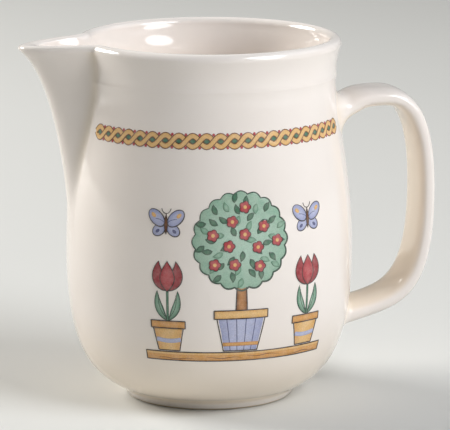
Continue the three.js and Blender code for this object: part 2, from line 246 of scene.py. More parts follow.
def shaped(start, end, leaving, arriving):
    """Bezier whose two handles stand at shares of the way from start to end, across and up."""
    start, end = np.array(start, float), np.array(end, float)
    return start, lerp(start, end, np.array(leaving)), lerp(start, end, np.array(arriving)), end


def straight_side(start, end):
    """Bezier that runs straight."""
    return shaped(start, end, 1 - CORNER_LEAD, CORNER_LEAD)


def resampled(points, spacing, closeness=1):
    """The same polyline with its points about a spacing apart along its length, or closer by a factor."""
    step = np.linalg.norm(np.diff(points, axis=0), axis=1) * closeness
    length = np.concatenate([[0], np.cumsum(step)])
    even = np.linspace(0, length[-1], max(2, round(length[-1] / spacing) + 1))
    return np.stack([np.interp(even, length, column) for column in points.T], axis=1)


def unit_steps(line):
    """Unit vectors along a polyline, from the difference of each point's neighbours."""
    along = np.gradient(line, axis=0)
    return along / np.linalg.norm(along, axis=1, keepdims=True)


def left_of(along):
    """Level vectors turned a quarter turn to the left."""
    return np.stack([-along[:, 1], along[:, 0]], axis=1)


# Outlines of the pot as radius and height, set in from the outside face by a depth


def lower_curve(inset, start_height):
    """Heel to belly: sweeps out low, then rises upright."""
    start = HEEL_RADIUS - inset / 2, start_height
    end = BELLY_RADIUS - inset, BELLY_HEIGHT
    return shaped(start, end, leaving=(HEEL_SWEEP, HEEL_RISE), arriving=(1, BELLY_DROP))


def shoulder_curve(inset):
    """Belly to neck: upright at both ends."""
    start = BELLY_RADIUS - inset, BELLY_HEIGHT
    end = NECK_RADIUS - inset, NECK_HEIGHT
    return shaped(start, end, leaving=(0, SHOULDER_START), arriving=(1, SHOULDER_END))


def collar_curve(inset):
    """Neck to lip: leaves upright and flares like a trumpet."""
    start = NECK_RADIUS - inset, NECK_HEIGHT
    end = RIM_RADIUS - inset, LIP_FOOT
    return shaped(start, end, leaving=(0, COLLAR_BEND), arriving=(FLARE_OUT, FLARE_UP))


OUTSIDE = joined(lower_curve(0, HEEL_HEIGHT), shoulder_curve(0), collar_curve(0))
INSIDE = joined(lower_curve(WALL, FLOOR_HEIGHT), shoulder_curve(WALL), collar_curve(WALL))
WALL_START = bezier(lower_curve(WALL, FLOOR_HEIGHT), [FLOOR_FILLET_SHARE])[0]


def radius_at(outline, height):
    """Radius of an outline at a height, read between its points."""
    return np.interp(height, outline[:, 1], outline[:, 0])


def ridge_line():
    """The beak's ridge leaves the pot upright at its foot and leans out to a point past the tip.

    It is held back softly at the tip's reach, which leaves a blunt nose.
    """
    foot = radius_at(OUTSIDE, BEAK_FOOT) + BEAK_FOOT_STEP, BEAK_FOOT
    past_tip = TIP_REACH + NOSE_OVERSHOOT, TIP_HEIGHT
    line = joined(shaped(foot, past_tip, leaving=(0, RIDGE_UPRIGHT), arriving=(RIDGE_LEAN, RIDGE_TURN)))
    line[:, 0] = TIP_REACH - soft_excess(TIP_REACH - line[:, 0], NOSE_BLEND)
    return line


RIDGE = ridge_line()

# The fired body: a turned pot whose wall swells out into the beak


def up_the_beak(height):
    """Share of the way from the beak's foot to its tip."""
    return np.clip((height - BEAK_FOOT) / (TIP_HEIGHT - BEAK_FOOT), 0, 1)


def beak_half_width(height):
    """Half the width of the V on the pot's face, which grows evenly from foot to tip."""
    return lerp(BEAK_WIDTH_AT_FOOT, BEAK_WIDTH_AT_RIM, up_the_beak(height)) / 2


def blunted(sine, bluntness):
    """Hyperbola that starts flat at zero and turns to a slope of one past the bluntness."""
    return np.hypot(sine, bluntness) - bluntness


def flank_radius(angle, height, point, half_width, circle):
    """Polar radius of a level V: two flanks run straight from the ridge's point back to a circle.

    On a ray at an angle from the ridge it is point * half width, over half width * cosine plus
    (point - back) * run. A hyperbola blunts the run near the ridge, more at the foot than at the tip,
    and past the crease with the circle the V dives under it.
    """
    back = np.sqrt(circle**2 - half_width**2)
    crease = half_width / circle
    bluntness = lerp(FOOT_BLUNTNESS, TIP_BLUNTNESS, up_the_beak(height))
    run = crease * blunted(np.sin(angle), bluntness) / blunted(crease, bluntness)
    cut = half_width * np.cos(angle) + (point - back) * run
    beyond = np.maximum(np.abs(angle) - np.arcsin(crease), 0)
    under = circle * (1 - FLANK_DIVE * beyond)
    flank = np.where(cut > 1, point * half_width / np.maximum(cut, 1), under)
    return np.where(beyond > 0, np.minimum(flank, under), flank)


def beak_fade(height):
    """The beak grows out of the wall over a short stretch below its foot."""
    return smoothstep(BEAK_FOOT - BEAK_FADE, BEAK_FOOT, height)


def flank_excess(angle, height):
    """How far the V of the beak lies outside the turned pot."""
    pot = radius_at(OUTSIDE, height)
    return flank_radius(angle, height, radius_at(RIDGE, height), beak_half_width(height), pot) - pot


def wall_wave(angle, height):
    """Slight unevenness of a cast and fired wall: slow waves round the pot and up it."""
    round_pot = np.sin(2 * angle + 0.6) + 0.6 * np.sin(3 * angle + height / 17)
    return WALL_WAVE * (round_pot + np.sin(height / 13 + 1.1) * np.cos(angle + 0.4))


def neck_line(height):
    """Faint raised line under the collar: an exponential on either side of a rounded edge."""
    return LINE_RISE * np.exp(-np.hypot(height - NECK_LINE, LINE_SOFTNESS) / LINE_REACH)


def outside_radius(angle, height):
    """Turned pot, plus its waves, plus the soft excess of the beak's V, at an angle from the ridge.

    The line at the neck fades out where the beak swells.
    """
    blend = np.interp(height, CREASE_HEIGHTS, CREASE_BLENDS)
    swelling = soft_excess(flank_excess(angle, height), blend) * beak_fade(height)
    line = neck_line(height) * (1 - smoothstep(0, LINE_FADE, swelling))
    return radius_at(OUTSIDE, height) + wall_wave(angle, height) + line + swelling


def inside_radius(angle, height):
    """Inside of the turned pot, plus the soft excess of the beak's channel: the V set in by its wall."""
    pot = radius_at(OUTSIDE, height)
    ridge = radius_at(RIDGE, height)
    width = beak_half_width(height)
    flank = np.arctan2(width, ridge - np.sqrt(pot**2 - width**2))
    thickness = lerp(WALL + BEAK_FOOT_STEP, BEAK_WALL, up_the_beak(height))
    point = ridge - thickness / np.sin(flank)
    inner = radius_at(INSIDE, height)
    channel = flank_radius(angle, height, point, width - thickness * np.cos(flank), pot - WALL)
    return inner + soft_excess(channel - inner, CHANNEL_BLEND) * beak_fade(height)


def body_angles():
    """Angles from the beak's ridge, closer together on the beak than round the rest of the pot."""
    beak = np.linspace(-BEAK_ARC, BEAK_ARC, BEAK_COLUMNS)
    rest = np.linspace(BEAK_ARC, 2 * math.pi - BEAK_ARC, REST_COLUMNS)[1:-1]
    return np.concatenate([beak, rest - 2 * math.pi * (rest > math.pi)])


def level_rows(start_radius, end_radius, height, count):
    """Radii spread evenly on one level."""
    return np.stack([np.linspace(start_radius, end_radius, count), np.full(count, height)], axis=1)


def floor_outline():
    """Inside floor from near its middle, with a curved corner up to the wall."""
    corner = np.array([HEEL_RADIUS - WALL / 2, FLOOR_HEIGHT])
    start = np.array([FLOOR_FILLET_START, FLOOR_HEIGHT])
    bend = joined(rounded_corner(start, corner, WALL_START), steps=CORNER_ROWS)
    level = level_rows(POLE_RADIUS, FLOOR_FILLET_START, FLOOR_HEIGHT, FLOOR_ROWS)
    return np.concatenate([level[:-1], bend])


def lip_rows(angle):
    """Over the lip from inside to outside: half an ellipse between the two faces at each height.

    Its height falls towards the tip. On the beak the ellipse is squared off by a power below one,
    which leaves a flatter top with tighter edges, and less so at the nose.
    """
    share = soft_excess(flank_excess(angle, TIP_HEIGHT), LIP_BLEND) / (TIP_REACH - RIM_RADIUS)
    drop = LIP_DROP - (RIM_HEIGHT - TIP_HEIGHT) * share
    power = lerp(1, BEAK_LIP_EDGE, smoothstep(*LIP_EDGE_SHARES, share))
    power = lerp(power, NOSE_EDGE, smoothstep(*NOSE_EDGE_SHARES, share))
    turn = np.linspace(math.pi, 0, LIP_ROWS)[1:-1, None]
    height = LIP_FOOT + drop * squared(np.sin(turn), power)
    outer = outside_radius(angle, height)
    inner = inside_radius(angle, height)
    return (outer + inner) / 2 + (outer - inner) / 2 * squared(np.cos(turn), power), height


def glaze_cover(angle, height, is_outer):
    """The first value is above 0 for painted shade, warmer and darker, in the beak's creases and up from
    the heel, and for a warmer, darker tint low on the pot; the second, thinned, is above 0 on edges.
    """
    risen = smoothstep(CREASE_SHADE_START, CREASE_SHADE_FULL, height)
    crease = bell(flank_excess(angle, height), CREASE_SHADE) * risen
    heel = bell(height - HEEL_HEIGHT, HEEL_SHADE)
    low = 1 - smoothstep(LOW_TINT_FULL, LOW_TINT_END, height)
    ridge = bell(angle, RIDGE_ARC) * smoothstep(RIDGE_THIN_START, RIDGE_THIN_FULL, height)
    lip = smoothstep(LIP_FOOT, RIM_HEIGHT - LIP_THIN_DROP, height)
    shade_and_low_tint = SHADE_TINT_MOST * np.clip((crease + heel + low) * is_outer, 0, 1)
    thinned = np.clip(ridge * is_outer + lip, 0, 1)
    return shade_and_low_tint, thinned


def body_surface():
    """Rows of angle, radius and height from the floor over the lip to the underside, and their glaze."""
    angle = body_angles()[None, :]
    level = np.ones_like(angle)
    floor = floor_outline()
    inner_wall = resampled(INSIDE[INSIDE[:, 1] > WALL_START[1]], INNER_SPACING)
    closeness = 1 + LINE_CLOSENESS * bell(OUTSIDE[:0:-1, 1] - NECK_LINE, LINE_ZONE)
    outer_wall = resampled(OUTSIDE[::-1], OUTER_SPACING, closeness)
    under = level_rows(HEEL_RADIUS - FOOT_INSET, POLE_RADIUS, HEEL_HEIGHT, UNDER_ROWS)
    inner_heights = inner_wall[:, 1:] * level
    outer_heights = outer_wall[:, 1:] * level
    stretches = (
        (floor[:, :1] * level, floor[:, 1:] * level),
        (inside_radius(angle, inner_heights), inner_heights),
        lip_rows(angle),
        (outside_radius(angle, outer_heights), outer_heights),
        (under[:, :1] * level, under[:, 1:] * level),
    )
    radius, height = (np.concatenate(rows) for rows in zip(*stretches))
    angle = angle * np.ones_like(radius)
    is_outer = np.arange(len(radius))[:, None] >= len(radius) - len(outer_wall) - len(under)
    return angle, radius, height, glaze_cover(angle, height, is_outer)


def placed(angle, radius, height):
    """Points in metres at an angle from the beak, which points along -X, round the pot's axis."""
    x = AXIS - radius * np.cos(angle)
    y = -radius * np.sin(angle)
    return np.stack([x, y, height * np.ones_like(radius)], axis=-1).reshape(-1, 3) * MM


# Meshes


def grid_faces(index, wrap_rows=False, wrap_columns=False):
    """Quads between neighbouring rows and columns of vertex numbers, column edge first."""
    if wrap_rows:
        index = np.vstack([index, index[:1]])
    if wrap_columns:
        index = np.hstack([index, index[:, :1]])
    corners = index[:-1, :-1], index[:-1, 1:], index[1:, 1:], index[1:, :-1]
    return np.stack(corners, axis=-1).reshape(-1, 4).tolist()


def fan_faces(pole, ring):
    """Triangles from one pole to each edge of a closed ring of vertex numbers."""
    following = np.roll(ring, -1)
    return np.stack([np.full_like(ring, pole), ring, following], axis=1).tolist()


def make_piece(name, points, faces, material, values=None, inks=None):
    """A smooth mesh at the origin, with a number for each vertex by name, or an ink colour for each."""
    mesh = bpy.data.meshes.new(name)
    mesh.from_pydata(points.tolist(), [], faces)
    mesh.polygons.foreach_set("use_smooth", np.ones(len(mesh.polygons), bool))
    for key, numbers in (values or {}).items():
        layer = mesh.attributes.new(key, "FLOAT", "POINT")
        layer.data.foreach_set("value", np.asarray(numbers, np.float32).ravel())
    if inks is not None:
        layer = mesh.attributes.new("ink", "FLOAT_COLOR", "POINT")
        opaque = np.concatenate([inks, np.ones((len(inks), 1))], axis=1)
        layer.data.foreach_set("color", opaque.astype(np.float32).ravel())
    mesh.materials.append(material)
    mesh.update()
    piece = bpy.data.objects.new(name, mesh)
    bpy.context.scene.collection.objects.link(piece)
    return piece


def make_capped(name, points, poles, index, material, shade_and_low_tint, thinned):
    """A closed skin: a grid that wraps round, with a fan to a pole at its first and last row."""
    faces = grid_faces(index, wrap_columns=True)
    faces += fan_faces(len(points), index[0][::-1])
    faces += fan_faces(len(points) + 1, index[-1])
    values = {
        "shade_and_low_tint": np.append(shade_and_low_tint, [0, 0]),
        "thinned": np.append(thinned, [0, 0]),
        "bare": np.zeros(len(points) + 2),
    }
    return make_piece(name, np.vstack([points, poles]), faces, material, values)


def make_body(material):
    """Pot, collar and beak as one glazed skin, closed at the middle of the underside and of the floor."""
    angle, radius, height, cover = body_surface()
    points = placed(angle, radius, height)
    index = np.arange(radius.size).reshape(radius.shape)
    poles = np.array([[AXIS, 0, HEEL_HEIGHT], [AXIS, 0, FLOOR_HEIGHT]]) * MM
    return make_capped("glazed_body", points, poles, index[::-1], material, *cover)


def foot_outline():
    """Closed section of the foot ring: over its hidden top, down its side, along its face, up its bore."""
    top = HEEL_HEIGHT + FOOT_INSET
    top_inner = np.array([FOOT_BORE, top])
    top_outer = np.array([HEEL_RADIUS - FOOT_INSET, top])
    tuck = np.array([HEEL_TUCK, -HEEL_TUCK])
    heel = bezier(lower_curve(0, HEEL_HEIGHT), [HEEL_FILLET_SHARE])[0] - tuck
    corner = np.array([HEEL_RADIUS, HEEL_HEIGHT])
    edge = np.array([FOOT_RADIUS, 0])
    side = lerp(edge, corner, FOOT_SIDE_SHARE)
    side_low = edge + (corner - edge) / np.linalg.norm(corner - edge) * FOOT_EDGE
    face_outer = edge - np.array([FOOT_EDGE, 0])
    bore_edge = np.array([FOOT_BORE, 0])
    face_inner = bore_edge + np.array([FOOT_EDGE, 0])
    bore_low = bore_edge + np.array([0, FOOT_EDGE])
    outline = joined(
        straight_side(top_inner, top_outer),
        straight_side(top_outer, heel),
        rounded_corner(heel, corner, side),
        straight_side(side, side_low),
        rounded_corner(side_low, edge, face_outer),
        straight_side(face_outer, face_inner),
        rounded_corner(face_inner, bore_edge, bore_low),
        straight_side(bore_low, top_inner),
        steps=FOOT_STEPS,
    )
    return outline[:-1]


def make_foot(material):
    """Foot ring turned about the pot's axis, bare where it was wiped to stand in the kiln."""
    outline = foot_outline()
    angle = full_turn(FOOT_COLUMNS)[None, :]
    radius = outline[:, :1] * np.ones_like(angle)
    height = outline[:, 1:] * np.ones_like(angle)
    points = placed(angle * np.ones_like(radius), radius, height)
    faces = grid_faces(np.arange(radius.size).reshape(radius.shape)[::-1], True, True)
    bare = 1 - smoothstep(FOOT_BARE_FULL, FOOT_BARE_END, height)
    # Painted shade, warmer and darker, on the top of the foot's side where it meets the belly.
    shade_and_low_tint = smoothstep(HEEL_HEIGHT - FOOT_SHADE, HEEL_HEIGHT, height)
    values = {"shade_and_low_tint": shade_and_low_tint, "thinned": np.zeros_like(bare), "bare": bare}
    return make_piece("foot", points, faces, material, values)


# Strap handle


def arch_line():
    """Middle of the strap from the upper root over its peak, down the grip and round the elbow."""
    grip = np.array([STRAP_REACH - STRAP_THICKNESS / 2, GRIP_HEIGHT])
    upper = np.array([radius_at(OUTSIDE, UPPER_ROOT) - ROOT_EMBED, UPPER_ROOT])
    peak = np.array([BELLY_RADIUS + ARCH_REACH, UPPER_ROOT + ARCH_RISE])
    lower = np.array([radius_at(OUTSIDE, LOWER_ROOT) - ROOT_EMBED, LOWER_ROOT])
    elbow = np.array([BELLY_RADIUS + ARCH_REACH, LOWER_ROOT + ELBOW_RISE])
    upper_lead = np.array([ARM_LEAD * (peak[0] - upper[0]), 0])
    overhang = np.array([BEND_LEAD * (grip[0] - peak[0]), 0])
    at_elbow = np.array([1, ELBOW_SLOPE])
    at_lower = np.array([1, LOWER_SLOPE])
    return joined(
        (upper, lerp(upper, peak, ARM_LEAD), peak - upper_lead, peak),
        (peak, peak + overhang, lerp(grip, peak, np.array([0, GRIP_LEAD])), grip),
        (grip, lerp(grip, elbow, np.array([0, BEND_LEAD])), elbow + overhang[0] * at_elbow, elbow),
        (elbow, elbow - ELBOW_LEAD * at_elbow, lower + LOWER_LEAD * at_lower, lower),
    )


def strap_stations():
    """Points of the arch, close together at the roots, with their directions and distance to an end."""
    line = resampled(arch_line(), STATION_SPACING)
    count = round(ROOT_SPAN / STATION_SPACING)
    end = np.arange(0, count)
    middle = np.arange(count, len(line) - count, STATIONS_SKIPPED)
    chosen = np.concatenate([end, middle, len(line) - 1 - end[::-1]])
    to_end = STATION_SPACING * np.minimum(chosen, len(line) - 1 - chosen)
    return line[chosen], unit_steps(line)[chosen], to_end


def gap_to_wall(radius, width, height):
    """How far a point beside the handle stands off the pot's wavy wall."""
    angle = np.arctan2(-width, -radius)
    return np.hypot(radius, width) - radius_at(OUTSIDE, height) - wall_wave(angle, height)


def strap_surface():
    """A squared oval carried along the arch, as radius towards the handle, width and height.

    The oval's half sizes grow near a root by a cubic flare, and within a fillet of the pot by
    fillet - sqrt(fillet^2 - (fillet - gap)^2). The grown points then move in or out along the radius,
    until they stand off the wall by the same gap as before, so that the fillet ends level with the glaze.
    """
    line, along, to_end = strap_stations()
    turn = full_turn(STRAP_COLUMNS)
    side = squared(np.cos(turn), STRAP_EDGE)[None, :]
    face = squared(np.sin(turn), STRAP_EDGE)[None, :]
    flare = ROOT_FLARE / 2 * np.clip(1 - to_end / ROOT_ARM, 0, 1)[:, None] ** 3

    def section(growth):
        """Points of the oval at each station, its half sizes grown by an amount."""
        reach = face * (STRAP_THICKNESS / 2 + growth)
        width = side * (STRAP_WIDTH / 2 + growth)
        return line[:, :1] - along[:, 1:] * reach, width, line[:, 1:] + along[:, :1] * reach

    gap = gap_to_wall(*section(flare))
    is_upper = line[:, 1:] > (UPPER_ROOT + LOWER_ROOT) / 2
    size = np.where(is_upper, UPPER_FILLET, LOWER_FILLET)
    inside = np.clip(size - gap, 0, size)
    fillet = size - np.sqrt(size**2 - inside**2)
    radius, width, height = section(flare + fillet)
    for _ in range(3):
        radius = radius - (gap_to_wall(radius, width, height) - gap) * (fillet > 0)
    # Painted shade, warmer and darker, over the strap's inner face and in the slip fillets at its roots.
    inner_face = smoothstep(STRAP_SHADE_START, STRAP_SHADE_FULL, -face)
    shade_and_low_tint = np.maximum(SHADE_TINT_MOST * fillet / size, inner_face)
    thinned = STRAP_EDGE_THIN * (np.abs(side) * np.abs(face)) ** 2 * np.ones_like(gap)
    return np.stack([AXIS + radius, width, height], axis=-1) * MM, shade_and_low_tint, thinned


def make_handle(material):
    """The strap with both ends closed inside the wall of the pot."""
    points, shade_and_low_tint, thinned = strap_surface()
    poles = points[[0, -1]].mean(axis=1)
    index = np.arange(shade_and_low_tint.size).reshape(shade_and_low_tint.shape)
    return make_capped("handle", points.reshape(-1, 3), poles, index, material, shade_and_low_tint, thinned)


# Printed transfers: inks laid on the wall in thin layers, each melted into the one below at its edge

Patch = namedtuple("Patch", "places lifts inks closed")


def linear(hex_colour):
    """Linear red, green and blue of an sRGB hex colour."""
    value = np.array([int(hex_colour[i:i + 2], 16) for i in (1, 3, 5)]) / 255
    return np.where(value <= 0.04045, value / 12.92, ((value + 0.055) / 1.055) ** 2.4)


HONEY, HONEY_PALE = linear("#DDA257"), linear("#EABF7D")
WOOD, WOOD_DARK = linear("#B97C3A"), linear("#6E3F1D")
SAGE, SAGE_PALE = linear("#8FB59D"), linear("#AFCDBA")
LEAF, LEAF_MID = linear("#1F4434"), linear("#44785C")
RED, RED_PALE = linear("#A12632"), linear("#BF4B50")
RED_DARK = 0.75 * RED
BLUE, BLUE_PALE, BLUE_DARK = linear("#9299C2"), linear("#BABFDB"), linear("#4E5482")
LINE = linear("#2A211E")


def film_lift(layer):
    """Height of a layer of ink above the wall."""
    return FILM_LIFT + FILM_STEP * np.asarray(layer, float)


def fill(outline, middle_ink, edge_ink, layer):
    """Ink inside a closed outline drawn anticlockwise: rings of the outline drawn in towards its middle.

    The colour runs from the middle's to the edge's with the square of the share, and the last ring dips.
    """
    outline = outline[::-1]
    middle = outline.mean(axis=0)
    shares = np.array([0, 0.3, 0.55, 0.78, 0.95, 1])[:, None]
    places = lerp(middle, outline[None], shares[:, :, None])
    lifts = (film_lift(layer) - FILM_DIP * (shares == 1)) * np.ones(len(outline))
    inks = lerp(middle_ink, edge_ink, shares[:, :, None] ** 2) * np.ones((len(outline), 1))
    return Patch(places, lifts, inks, True)


def stroke(line, width, middle_ink, edge_ink, layer):
    """Ink along an open line: points set off to either side by shares of half the width there.

    Sides and ends dip, so that the stroke has no raw edge. The layer may change along the line.
    """
    along = unit_steps(line)
    line = np.vstack([line[:1] - STROKE_END * along[:1], line, line[-1:] + STROKE_END * along[-1:]])
    along = np.vstack([along[:1], along, along[-1:]])
    widths = np.pad(np.broadcast_to(width, len(line) - 2).astype(float), 1, "edge")
    layers = np.pad(np.broadcast_to(layer, len(line) - 2).astype(float), 1, "edge")
    shares = np.array([-1, -0.86, -0.45, 0, 0.45, 0.86, 1])[:, None]
    places = line + shares[:, :, None] * (widths[:, None] / 2 * left_of(along))
    at_end = np.zeros(len(line))
    at_end[[0, -1]] = 1
    dips = np.maximum(np.abs(shares) == 1, at_end)
    lifts = film_lift(layers) - FILM_DIP * dips
    inks = lerp(middle_ink, edge_ink, shares[:, :, None] ** 2) * np.ones((len(line), 1))
    return Patch(places, lifts, inks, False)


def straight(start, end, steps=12):
    """Points along a straight line."""
    return lerp(np.array(start, float), np.array(end, float), np.linspace(0, 1, steps)[:, None])


def bowed(start, end, bow, steps=14):
    """Points along a line that bows to its left by a parabola of that height."""
    share = np.linspace(0, 1, steps)[:, None]
    start, end = np.array(start, float), np.array(end, float)
    along = (end - start) / np.linalg.norm(end - start)
    return lerp(start, end, share) + left_of(along[None]) * bow * 4 * share * (1 - share)


def lobed(middle, radius, lobes=0, depth=0.0, steps=40):
    """Closed round outline whose radius waves in and out by a depth, in a number of lobes."""
    turn = full_turn(steps)
    reach = radius * (1 + depth * (np.abs(np.cos(lobes * turn / 2)) - 1))
    return np.array(middle) + np.stack([reach * np.cos(turn), reach * np.sin(turn)], axis=1)


def oval(middle, half_long, half_wide, tilt, steps=28):
    """Closed ellipse with its long axis at a tilt from level."""
    turn = full_turn(steps)
    long, wide = half_long * np.cos(turn), half_wide * np.sin(turn)
    across = long * math.cos(tilt) - wide * math.sin(tilt)
    up = long * math.sin(tilt) + wide * math.cos(tilt)
    return np.array(middle) + np.stack([across, up], axis=1)


def blade(start, end, half_width, bow=0.0, steps=12):
    """Closed leaf outline on a bowed midrib: the half width follows a sine, fuller near the root."""
    rib = bowed(start, end, bow, steps)
    share = np.linspace(0, 1, steps)
    wide = left_of(unit_steps(rib)) * half_width * np.sin(math.pi * share**0.85)[:, None]
    return np.vstack([rib - wide, (rib + wide)[-2:0:-1]])


def outlined(outline, width, ink, layer):
    """Pen line round a closed outline, a little heavier on its lower right."""
    closed = np.vstack([outline, outline[:2]])
    toward = closed - outline.mean(axis=0)
    shade = (toward[:, 0] - toward[:, 1]) / np.linalg.norm(toward, axis=1)
    return stroke(closed, width * (1 + PEN_SHADE * shade), ink, ink, layer)


def inked(outline, middle_ink, edge_ink, pen_ink, pen, layer):
    """A wash inside a closed outline, with a line of a pen's width round it one layer up."""
    return [fill(outline, middle_ink, edge_ink, layer), outlined(outline, pen, pen_ink, layer + 1)]


def boxed(one_side, other_side, layer):
    """Pen lines along two sides and across both of their ends."""
    ends = [straight(one_side[k], other_side[k]) for k in (0, -1)]
    return [stroke(line, OUTLINE_WIDTH, LINE, LINE, layer) for line in (one_side, other_side, *ends)]


def pot_body(offset, bottom, top, base_width, top_width, middle_ink, edge_ink):
    """A tapered pot: one broad stroke up its middle, with pen lines round it."""
    widths = np.linspace(base_width, top_width, 12)
    left = straight((offset - base_width / 2, bottom), (offset - top_width / 2, top))
    right = straight((offset + base_width / 2, bottom), (offset + top_width / 2, top))
    body = stroke(straight((offset, bottom), (offset, top)), widths, middle_ink, edge_ink, 0)
    return [body, *boxed(left, right, 2)]


def pot_rim(offset, bottom, top, width, middle_ink, edge_ink, steps):
    """A pot's rim: one broad stroke across it, with pen lines round it."""
    left, right = offset - width / 2, offset + width / 2
    middle = (bottom + top) / 2
    band = stroke(straight((left, middle), (right, middle), steps), top - bottom, middle_ink, edge_ink, 3)
    ends = (straight((across, bottom), (across, top)) for across in (left, right))
    return [band, *boxed(*ends, 5)]


def shelf_patches():
    """A plank: a wash with a pale upper edge, four wavy lines of grain, and pen lines round it."""
    half = SHELF_WIDTH / 2
    bottom, top = SHELF_BOTTOM, SHELF_BOTTOM + SHELF_HEIGHT

    def level(height):
        """A line along the whole plank."""
        return straight((-half, height), (half, height), steps=60)

    patches = [stroke(level((bottom + top) / 2), SHELF_HEIGHT, HONEY, WOOD, 0)]
    patches.append(stroke(level(top - 0.7), 0.8, HONEY_PALE, HONEY, 1))
    share = np.linspace(0, 1, 20)
    for k, start in enumerate((-27, -11, 2, 17)):
        up = bottom + 0.9 + 0.35 * (k % 3) + 0.2 * np.sin(9 * share + k)
        grain = np.stack([start + 12 * share, up], axis=1)
        patches.append(stroke(grain, 0.24 * np.sin(math.pi * share) + 0.05, WOOD_DARK, WOOD, 2))
    return patches + boxed(level(bottom + OUTLINE_WIDTH / 2), level(top - OUTLINE_WIDTH / 2), 3)


def tub_patches():
    """A slatted blue tub with a honey hoop and rim."""
    bottom, top = MOTIF_FOOT, MOTIF_FOOT + TUB_HEIGHT
    rim = top - TUB_RIM
    rim_width = lerp(TUB_BASE, TUB_TOP, 0.72)
    patches = pot_body(0, bottom, rim, TUB_BASE, rim_width, BLUE_PALE, BLUE)
    for share in (-0.6, -0.2, 0.2, 0.6):
        slat = straight((share * TUB_BASE / 2, bottom), (share * rim_width / 2, rim))
        patches.append(stroke(slat, 0.26, BLUE_DARK, BLUE_DARK, 1))
    hoop_height, hoop_reach = bottom + 2.2, 0.52 * TUB_BASE
    hoop = straight((-hoop_reach, hoop_height), (hoop_reach, hoop_height))
    patches.append(stroke(hoop, 1.3, HONEY, WOOD, 2))
    return patches + pot_rim(0, rim, top, TUB_TOP, HONEY_PALE, HONEY, steps=20)


def golden_spread(middle, radius, count, first_share, first_turn):
    """Points spread evenly in a disc, and their turns: each a golden angle on from the last.

    Each lies at the radius times the square root of its number's share of the count.
    """
    number = np.arange(count)
    turn = first_turn + number * math.pi * (3 - math.sqrt(5))
    reach = radius * np.sqrt((number + first_share) / count)
    return middle + reach[:, None] * np.stack([np.cos(turn), np.sin(turn)], axis=1), turn


def crown_patches():
    """Round clipped crown: a lobed wash, leaves spaced by the golden angle, and blossoms among them."""
    middle = np.array([0, MOTIF_FOOT + TUB_HEIGHT + TRUNK_HEIGHT + CROWN_RADIUS])
    edge = lobed(middle, CROWN_RADIUS - 0.2, lobes=20, depth=0.06, steps=160)
    patches = inked(edge, SAGE_PALE, SAGE, LEAF, pen=0.45, layer=1)
    roots, turns = golden_spread(middle, CROWN_RADIUS - 3.2, LEAVES, first_share=0.5, first_turn=0)
    for k, (root, turn) in enumerate(zip(roots, turns)):
        lean = turn + 0.5 * math.sin(5 * k)
        tip = root + 3.6 * np.array([math.cos(lean), math.sin(lean)])
        shades = (LEAF_MID, LEAF) if k % 3 else (SAGE, LEAF_MID)
        patches.append(fill(blade(root, tip, half_width=0.95, bow=0.3), *shades, 3 + k % 2))
    hearts, _ = golden_spread(middle, CROWN_RADIUS - 3.6, BLOSSOMS, first_share=0.4, first_turn=1.1)
    for heart in hearts:
        petals = lobed(heart, 1.9, lobes=5, depth=0.22, steps=30)
        patches += inked(petals, RED_PALE, RED, LINE, pen=0.24, layer=6)
        patches.append(fill(lobed(heart, 0.6, steps=14), HONEY_PALE, HONEY, 8))
    return patches


def tree_patches():
    """A clipped tree in a tub. The ends of its trunk are hidden, so only its sides get pen lines."""
    trunk_foot = MOTIF_FOOT + TUB_HEIGHT
    trunk_top = trunk_foot + TRUNK_HEIGHT + 1.2
    trunk = pot_body(0, trunk_foot, trunk_top, TRUNK_BASE, TRUNK_TOP, WOOD, WOOD_DARK)
    return trunk[:3] + tub_patches() + crown_patches()


def tulip_patches(offset):
    """A tulip in a honey pot with a blue band: a stem, a ribbed leaf on either side and three petals."""
    pot_top = MOTIF_FOOT + SIDE_POT_HEIGHT
    rim = pot_top - SIDE_POT_RIM
    rim_width = lerp(SIDE_POT_BASE, SIDE_POT_TOP, 0.68)
    patches = pot_body(offset, MOTIF_FOOT, rim, SIDE_POT_BASE, rim_width, HONEY_PALE, HONEY)
    band_height, band_reach = MOTIF_FOOT + 3.6, 3.9
    band = bowed((offset - band_reach, band_height), (offset + band_reach, band_height), bow=-0.5)
    patches.append(stroke(band, 1.5, BLUE_PALE, BLUE, 1))
    patches += pot_rim(offset, rim, pot_top, SIDE_POT_TOP, HONEY, WOOD, steps=16)
    foot = np.array([offset, pot_top])
    bloom_foot = pot_top + TULIP_HEIGHT / 2
    bloom_top = pot_top + TULIP_HEIGHT - 0.3
    patches.append(stroke(straight(foot, (offset, bloom_foot + 1)), 0.9, LEAF_MID, LEAF, 0))
    for hand in (-1, 1):
        tip = np.array([offset + hand * 0.36 * TULIP_WIDTH, bloom_foot])
        root = offset + hand * 0.3, pot_top + 0.2
        leaf = blade(root, tip, half_width=1.15, bow=-hand * 1.1, steps=16)
        patches += inked(leaf, SAGE, LEAF_MID, LEAF, pen=0.28, layer=1)
        rib = bowed((offset + hand * 0.4, pot_top + 1), lerp(foot, tip, 0.85), bow=-hand * 0.9)
        patches.append(stroke(rib, HAIRLINE, LEAF, LEAF, 3))
    for hand in (-1, 1):
        tip = (offset + hand * 0.3 * TULIP_WIDTH, bloom_top)
        root = offset + hand * 0.4, bloom_foot
        petal = blade(root, tip, half_width=2.0, bow=-hand * 1.3, steps=18)
        patches += inked(petal, RED, RED_DARK, LINE, pen=0.26, layer=3)
    heart = blade((offset, bloom_foot - 0.2), (offset, bloom_top), half_width=2.3, steps=18)
    return patches + inked(heart, RED_PALE, RED, LINE, pen=0.26, layer=5)


